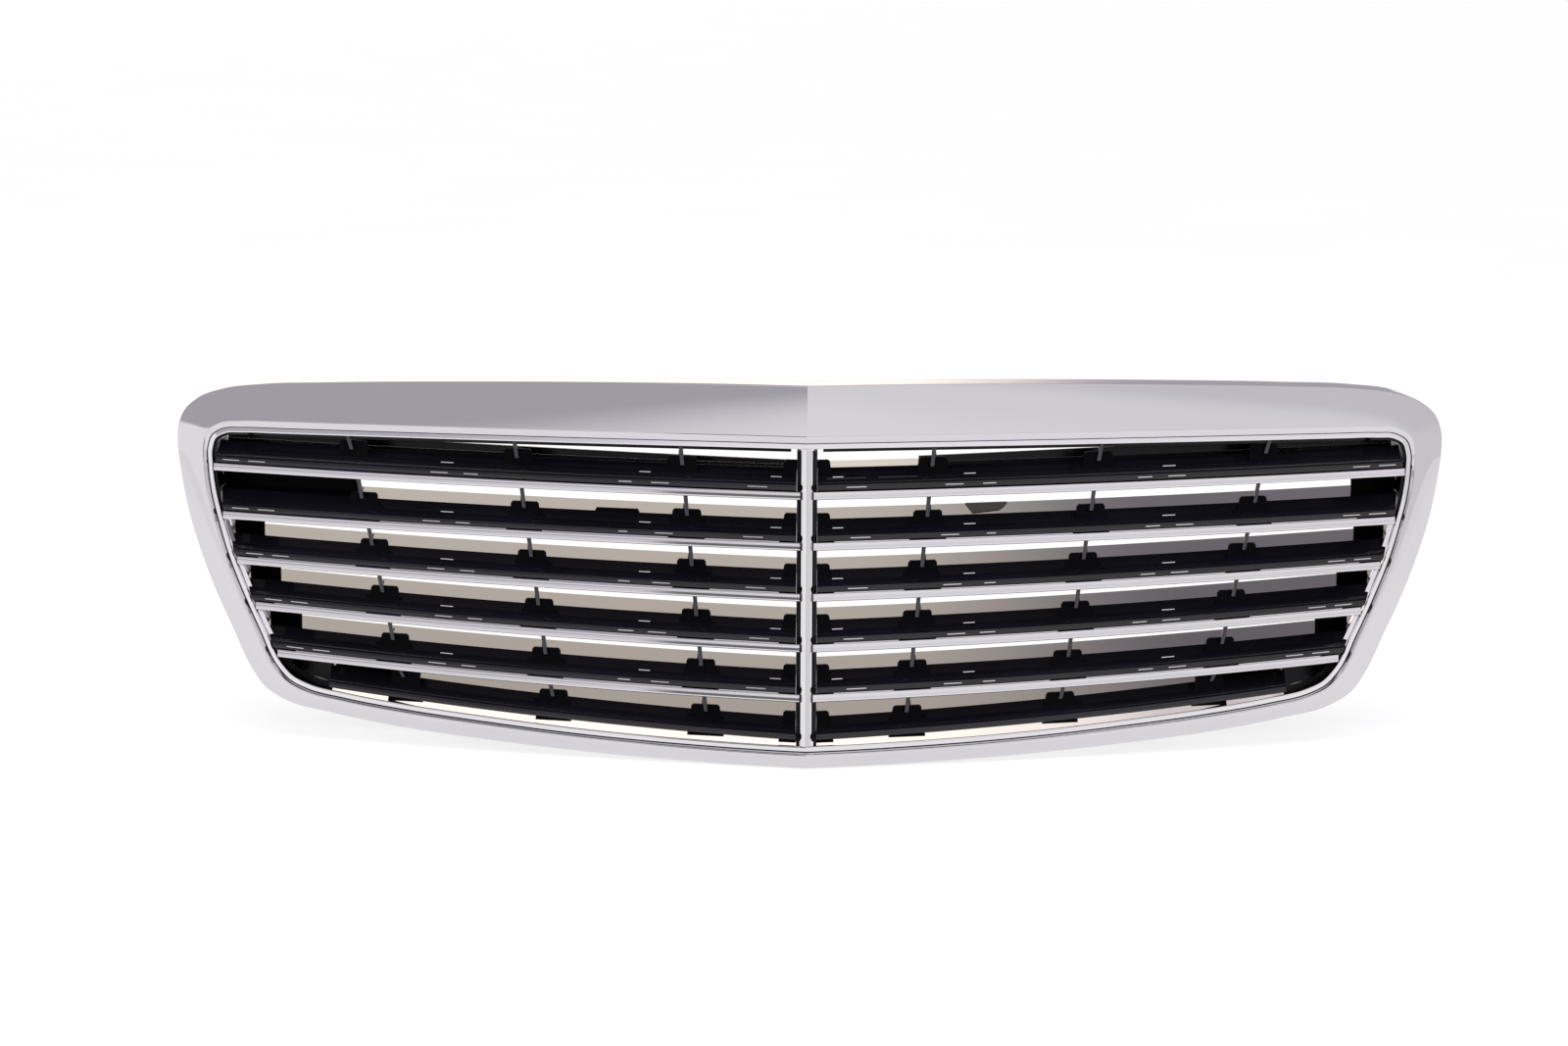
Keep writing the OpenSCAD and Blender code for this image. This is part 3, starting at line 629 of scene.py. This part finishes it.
def build_louvres():
    for side in SIDES:
        mir = side == "left"
        for i in range(6):
            b, plates = Build(), Build()
            xe = (halfw(znose(i, 340) - 3) - 0.5 - (1.8 if i < 2 else 0)) if i < 5 else 298
            sl = side_slope(i) if i in (1, 2, 3, 4) else 0.0
            prof = blade_prof(i)
            secs = []
            for x in np.linspace(X0 + 2.15, xe, 46):
                row = []
                for p in prof:
                    xx = x
                    if x > xe - 14:
                        xx = x + (p[1] + 3) * sl * (x - xe + 14) / 14
                        if i == 0:
                            xx = min(x, xe - (0 if p[0] < 10 else 1))
                    row.append(at(xx, znose(i, x) + p[1], p[0]))
                secs.append(row)
            b.sweep(secs)
            ft, low = foot_top(i), (-4.3 if i < 5 else -2.3)
            for k in range(3):
                w = 8.7
                pts = fillet([(-w - 2.6, low), (w + 2.6, low), (w, ft - 1.1), (w - 1.2, ft), (1.2 - w, ft), (-w, ft - 1.1)], [0.3, 0.3, 0.5, 0.4, 0.4, 0.5], 2)
                prism(plates, pts, 7, 9, i, rib_x(i, k) + FEET)
            w = 7.5
            pts = fillet([(0, low), (w + 3, low), (w, ft - 1.1), (w - 1.2, ft), (0, ft)], [0, 0.3, 0.5, 0.4, 0], 2)
            prism(plates, pts, 7, 9, i, X0 + 2.15)
            if i > 0:
                xo = OPEN[side][i]
                xb = 297 if i == 5 else halfw(znose(i, 330) + 14) - 0.8
                plates.sweep([[at(x, znose(i, x) + over(i, 29) - 0.4, 29), at(x, znose(i - 1, x) + under(i - 1, 29) + 0.1, 29), at(x, znose(i - 1, x) + under(i - 1, 31.2) + 0.1, 31.2),
                               at(x, znose(i, x) + over(i, 31.2) - 0.4, 31.2)] for x in np.linspace(xo, xb, 10)])
            if i == 1 and side == "left":
                prism(plates, fillet([(-14.5, 11.2), (14.5, 11.2), (12.8, 14.5), (-12.8, 14.5)], [0, 0, 0.4, 0.4], 2), 12.2, 13.8, 1, 116.5)
            # painted reflection: a thin dark sheet laid flat just above the shelf of blade 2 darkens a patch of what
            # the shelf mirrors
            if i == 1 and side == "right":
                plates.sweep([[at(x, znose(1, x) + over(1, d) + h, d) for d, h in ((a, 0.02), (47, 0.02), (47, 0.3), (a, 0.3))]
                              for x, a in ((97.5, 43), (101, 15), (118, 22), (121.5, 34), (123.5, 44))])
            ob = b.make(f"louvre_{side}_{i + 1}_fine", M_BLADE, mirror=mir, sharp=32)
            pb = plates.make(f"feet_{side}_{i + 1}", M_PLATE, mirror=mir, sharp=32)
            # ribs in their own satin piece
            r = Build()
            for k in range(3):
                st = RIBS[k][1]
                x0 = rib_x(i, k) + 0.36 * st + 0.4
                x1 = x0 + 0.38 * st
                zb = znose(i, x0)
                zt = 73.5 - x1 * 0.006 if i == 0 else znose(i - 1, x1) - 4.55
                secs = []
                for u in np.linspace(0, 1, 6):
                    xc = x0 + (x1 - x0) * u
                    z = (zb + 12.9) * (1 - u) + zt * u
                    h = RIB_T / 2 * (0.9 + 0.1 * u)
                    sec = fillet([(-h, 4.8), (-h, 8), (h, 8), (h, 4.8)], 0.5, 3)
                    secs.append([at(xc + q[0], z, q[1]) for q in sec])
                r.sweep(secs)
                secs = []
                for u in (0.0, 0.5, 1.0):
                    sec = [(-0.8, 7.5), (-0.8, 22), (0.8, 22), (0.8, 7.5)]
                    secs.append([at(x0 + 2.6 + q[0] - 1.0 * u, zb + (over(i, q[1]) - 0.8) * (1 - u) + (17.5 if q[1] > 10 else foot_top(i) + 3) * u, q[1]) for q in sec])
                r.sweep(secs)
            if i == 0 and side == "right":
                for (a, c) in ((12, 35.5), (43.5, 67)):
                    r.sweep(line(0, a, c, fillet([(5.4, 6.7), (5.2, 7.3), (7.5, 7.7), (7.5, 6.7)], 0.1, 2), 6.0))
            rb = r.make(f"ribs_{side}_{i + 1}", M_RIB, mirror=mir, sharp=35)
            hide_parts(f"louvre_{side}_{i + 1}")


# ---------------------------------------------------------------- insert frames
def build_frames():
    for side in SIDES:
        b = Build()
        sts = [(0, 0.1)] + [s for s in stations(6) if herm(INNER, *s)[0] > X0 + 3] + [(NP - 2, 0.91)]
        secs = []
        for st in sts:
            a, c, f = ringpt(st, 0.1), ringpt(st, 2.1), ringpt(st, 3.6 - 1.2 * footness(st))
            secs.append([at(a[0], a[1], 28.6), at(f[0], f[1], 28.6), at(f[0], f[1], 31), at(c[0], c[1], 31), at(c[0], c[1], 49.6), at(a[0], a[1], 50)])
        b.sweep(secs)
        b.sweep([[at(x, z, d) for (x, d) in ((X0, 4.8), (X0, 50), (X0 + 2, 50), (X0 + 2, 4.8))] for z in np.linspace(-101.2, 73, 12)])
        b.sweep([[at(x, z, d) for (x, d) in ((0.15, 6.5), (0.15, 8.5), (X0 + 0.8, 8.5), (X0 + 0.8, 6.5))] for z in np.linspace(-101, 72.8, 12)])
        b.sweep([[at(x, z, d) for (x, d) in ((X0 + 0.5, 29.6), (X0 + 0.5, 49.3), (X0 + 3.4, 49.3), (X0 + 3.4, 29.6))] for z in (-104.6, -100.6)])
        # dark top edge of the insert, just under the bezel
        sts = [s for s in stations(6) if X0 + 1 < herm(INNER, *s)[0] < 352 and herm(INNER, *s)[1] > 17]
        b.sweep([[at(*ringpt(st, w), d) for w, d in ((-0.1, 6.0), (-2.1, 6.0), (-2.1, 7.6), (-0.1, 7.6))] for st in sts])
        # black cheek inside the opening beside and above the two upper rows
        sts = [s for s in stations(6) if herm(INNER, *s)[0] > 352 and herm(INNER, *s)[1] > 17]
        secs = []
        for st in sts:
            sec = []
            for w, d in ((-0.25, 5.2), (-1.0, 5.0), (-1.85, 5.2), (-1.85, 28.8), (0.6, 28.8), (0.6, 28.3), (-0.25, 28.3)):
                q = ringpt(st, w)
                sec.append(at(q[0], q[1], d))
            secs.append(sec)
        b.sweep(secs)
        # the panel behind the top row; the right-hand one leaves a window beside the centre bar for the bonnet catch
        reach, full = (215, 243) if side == "right" else (287, 292)

        def top(x):
            if x < full:
                return 64.3 + 4.1 * min(1, x / reach)
            return 73.3 - (x - 243) * 0.0126 - max(0, x - 352) * 0.13

        def plate(xs, lo, hi):
            b.sweep([[at(x, lo(x), 29), at(x, hi(x), 29), at(x, hi(x), 31.2), at(x, lo(x), 31.2)] for x in xs])

        def shelf(x):
            return znose(0, x) + over(0, 30) + 0.1
        if side == "right":
            plate([X0 + 1, 12], shelf, top)
            plate(list(np.linspace(68, full - 0.2, 12)) + [full] + list(np.linspace(full + 8, 369.5, 10)), shelf, top)
        else:
            plate(list(np.linspace(X0 + 1, full - 0.2, 16)) + [full] + list(np.linspace(full + 8, 369.5, 8)), shelf, top)
        plate(np.linspace(298.6, 331, 6), lambda x: -85.4 + (x - 298.6) * 0.24, lambda x: znose(4, x) + under(4, 30) + 0.1)
        ob = b.make(f"insert_frame_{side}_fine", M_FRAME, mirror=side == "left", sharp=35)
        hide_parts(f"insert_frame_{side}")


# ---------------------------------------------------------------- seal and buffers
def build_soft():
    b = Build()
    half = []
    for st in stations(6):
        p = herm(OUTER, *st)
        if p[0] < 346 and p[1] > 90:
            a, c, m = inset(st, 0.8), inset(st, 5.6), inset(st, 3.2)
            prof = []
            for k in range(9):
                t = math.pi * k / 8
                q = m + (a - m) * math.cos(t)
                prof.append(at(q[0], q[1], SKIRT + 4.2 + 2.7 * math.sin(t)))
            q1 = m + (c - m) * 0.97
            q0 = m + (a - m) * 0.97
            prof += [at(q1[0], q1[1], SKIRT + 0.1), at(q0[0], q0[1], SKIRT + 0.1)]
            half.append(prof)
    b.sweep([[(-p[0], p[1], p[2]) for p in s] for s in half[:0:-1]] + half)
    ob = b.make("foam_seal_fine", M_FOAM, sharp=50)
    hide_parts("foam_seal")
    for side, sx in (("left", -1), ("right", 1)):
        b = Build()
        b.cyl(sx * 347.8, 128, -57, [(-5, 2.0), (-4.6, 2.45), (0, 2.45), (0.05, 4.3), (0.5, 4.75), (2.2, 4.8), (2.8, 4.35), (3.4, 4.3), (4.0, 4.75), (6.4, 4.8),
                                    (7.6, 4.55), (8.8, 4.05), (9.6, 3.4), (10, 2.4), (9.4, 1.3), (9.1, 0.3)])
        ob = b.make(f"rubber_buffer_{side}_fine", M_RUB, sharp=50)
        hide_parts(f"rubber_buffer_{side}")


build_surround()
build_bezel()
build_bar()
build_strips()
build_louvres()
build_frames()
build_soft()

for name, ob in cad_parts.items():
    if name == "rear_carrier":
        swap(ob, M_CARR)
    elif name.startswith("turn_lock"):
        swap(ob, M_LOCK)
    elif name in ("carrier_screws", "bracket_screws"):
        swap(ob, M_SCREW)
    elif name.startswith("bracket_"):
        swap(ob, M_STEEL)
    else:
        continue
    m = ob.modifiers.new("edges", "BEVEL")
    m.width = 0.00025 if "screws" in name else 0.0004
    m.segments = 2
    m.limit_method = "ANGLE"
    m.angle_limit = math.radians(38)

# ---------------------------------------------------------------- stage, light and camera
FLOOR_Z = CAD_BOX[0][2] - 0.0005
me = bpy.data.meshes.new("floor")
S = 60.0
me.from_pydata([(-S, -S, FLOOR_Z), (S, -S, FLOOR_Z), (S, S, FLOOR_Z), (-S, S, FLOOR_Z)], [], [(0, 1, 2, 3)])
floor = bpy.data.objects.new("floor", me)
bpy.context.collection.objects.link(floor)
mf, nt, b = new_mat("floor_pale")
nz = noise(nt, 3, 3, 0.5, coords(nt))
nt.links.new(ramp(nt, nz.outputs["Fac"], [(0.3, (0.34, 0.34, 0.345)), (0.7, (0.36, 0.36, 0.365))]), b.inputs["Base Color"])
b.inputs["Roughness"].default_value = 0.9
b.inputs["Specular IOR Level"].default_value = 0.1
b.inputs["Emission Color"].default_value = (1, 1, 1, 1)
b.inputs["Emission Strength"].default_value = 0.71
me.materials.append(mf)

world = bpy.data.worlds.new("studio")
bpy.context.scene.world = world
world.use_nodes = True
wt = world.node_tree
for n in list(wt.nodes):
    wt.nodes.remove(n)


def W(kind, **kw):
    n = wt.nodes.new(kind)
    for k, v in kw.items():
        setattr(n, k, v)
    return n


def wmath(op, a, b=None, clamp=False):
    n = W("ShaderNodeMath", operation=op, use_clamp=clamp)
    for i, q in enumerate((a, b)):
        if q is None:
            continue
        if isinstance(q, (int, float)):
            n.inputs[i].default_value = q
        else:
            wt.links.new(q, n.inputs[i])
    return n.outputs[0]


def wmix(f, a, b):
    n = W("ShaderNodeMix", data_type="RGBA")
    wt.links.new(f, n.inputs["Factor"])
    for k, q in (("A", a), ("B", b)):
        s = [i for i in n.inputs if i.name == k and i.type == "RGBA"][0]
        if isinstance(q, tuple):
            s.default_value = (*q, 1)
        else:
            wt.links.new(q, s)
    return [o for o in n.outputs if o.type == "RGBA"][0]


def wstep(x, lo, hi):
    n = W("ShaderNodeMapRange", interpolation_type="SMOOTHSTEP")
    wt.links.new(x, n.inputs["Value"])
    n.inputs["From Min"].default_value = lo
    n.inputs["From Max"].default_value = hi
    return n.outputs["Result"]


tc = W("ShaderNodeTexCoord")
sep = W("ShaderNodeSeparateXYZ")
wt.links.new(tc.outputs["Generated"], sep.inputs[0])
DX, DY, DZ = sep.outputs
ELEV = wmath("MULTIPLY", wmath("ARCSINE", DZ), 57.2958)
AZ = wmath("MULTIPLY", wmath("ARCTAN2", DX, wmath("MULTIPLY", DY, -1)), 57.2958)   # 0 in front, + to the right, 180 behind
# front left: bright near the horizon, a darker ceiling above it
low_left = wmix(wstep(AZ, -56, -50), (1.08, 1.07, 1.09), (0.86, 0.84, 0.87))
low_left = wmix(wstep(AZ, -30.5, -28.5), low_left, (0.20, 0.19, 0.20))
high_left = wmix(wstep(AZ, -46, -24), (0.53, 0.515, 0.56), (1.03, 1.01, 1.05))
left = wmix(wstep(ELEV, 17, 19), low_left, high_left)
low_right = wmix(wstep(AZ, 26, 52), (0.92, 0.90, 0.94), (0.86, 0.84, 0.87))
high_right = wmix(wstep(AZ, 24, 46), (1.03, 1.01, 1.05), (0.95, 0.93, 0.97))
high_right = wmix(wstep(AZ, 52, 74), high_right, (0.80, 0.76, 0.81))
right = wmix(wstep(ELEV, 12, 26), low_right, high_right)
front_col = wmix(wstep(AZ, -12, 12), left, right)
high_col = wmix(wstep(AZ, -12, 12), high_left, high_right)
# behind: a warm wall on the left and centre, a darker grey one on the right
BX = wmath("DIVIDE", DX, wmath("MAXIMUM", DY, 0.02))
back_col = wmix(wstep(BX, 0.00, 0.085), (1.42, 1.27, 1.13), (0.42, 0.385, 0.44))
back_col = wmix(wstep(BX, -1.5, -0.8), left, back_col)
back_col = wmix(wstep(BX, 0.8, 1.5), back_col, right)
back_col = wmix(wstep(ELEV, 24, 30), back_col, high_col)
col = wmix(wstep(DY, -0.10, 0.25), front_col, back_col)
bg = W("ShaderNodeBackground")
wt.links.new(col, bg.inputs["Color"])
bg.inputs["Strength"].default_value = 1.0
# the backdrop above the floor is plain pale
lp = W("ShaderNodeLightPath")
plain = W("ShaderNodeBackground")
plain.inputs["Color"].default_value = (1.0, 1.0, 1.0, 1)
mixw = W("ShaderNodeMixShader")
wt.links.new(lp.outputs["Is Camera Ray"], mixw.inputs[0])
wt.links.new(bg.outputs[0], mixw.inputs[1])
wt.links.new(plain.outputs[0], mixw.inputs[2])
out = W("ShaderNodeOutputWorld")
wt.links.new(mixw.outputs[0], out.inputs["Surface"])


def area(name, loc, target, size, power, color=(1, 1, 1)):
    L = bpy.data.lights.new(name, "AREA")
    L.shape = "RECTANGLE"
    L.size, L.size_y = size
    L.energy = power
    L.color = color
    o = bpy.data.objects.new(name, L)
    bpy.context.collection.objects.link(o)
    o.location = loc
    o.rotation_euler = (Vector(target) - Vector(loc)).to_track_quat("-Z", "Y").to_euler()
    o.visible_glossy = False
    return o


area("soft_top", (0, -0.6, 2.6), (0, -0.05, -0.1), (3.0, 2.0), 26)
area("soft_left", (-2.4, -1.8, 1.2), (0, -0.05, -0.1), (1.6, 1.6), 9)

cam_data = bpy.data.cameras.new("camera")
cam = bpy.data.objects.new("camera", cam_data)
bpy.context.collection.objects.link(cam)
bpy.context.scene.camera = cam
E, A_, ROLL, D = math.radians(9.0), math.radians(0.5), math.radians(-0.2), 2.4
T = Vector((0.0, -0.156, -0.0985))
back = Vector((math.sin(A_) * math.cos(E), -math.cos(A_) * math.cos(E), math.sin(E)))
fwd = -back
r0 = fwd.cross(Vector((0, 0, 1))).normalized()
u0 = r0.cross(fwd)
r1 = r0 * math.cos(ROLL) - u0 * math.sin(ROLL)
u1 = r0 * math.sin(ROLL) + u0 * math.cos(ROLL)
Mx = Matrix((r1, u1, back)).transposed().to_4x4()
Mx.translation = T + back * D
cam.matrix_world = Mx
cam_data.sensor_width = 36.0
cam_data.lens = 4063 * 36.0 / 1600
cam_data.shift_x = -23.0 / 1600
cam_data.shift_y = 52.5 / 1600
cam_data.clip_start = 0.05
cam_data.clip_end = 300
cam_data.dof.use_dof = False
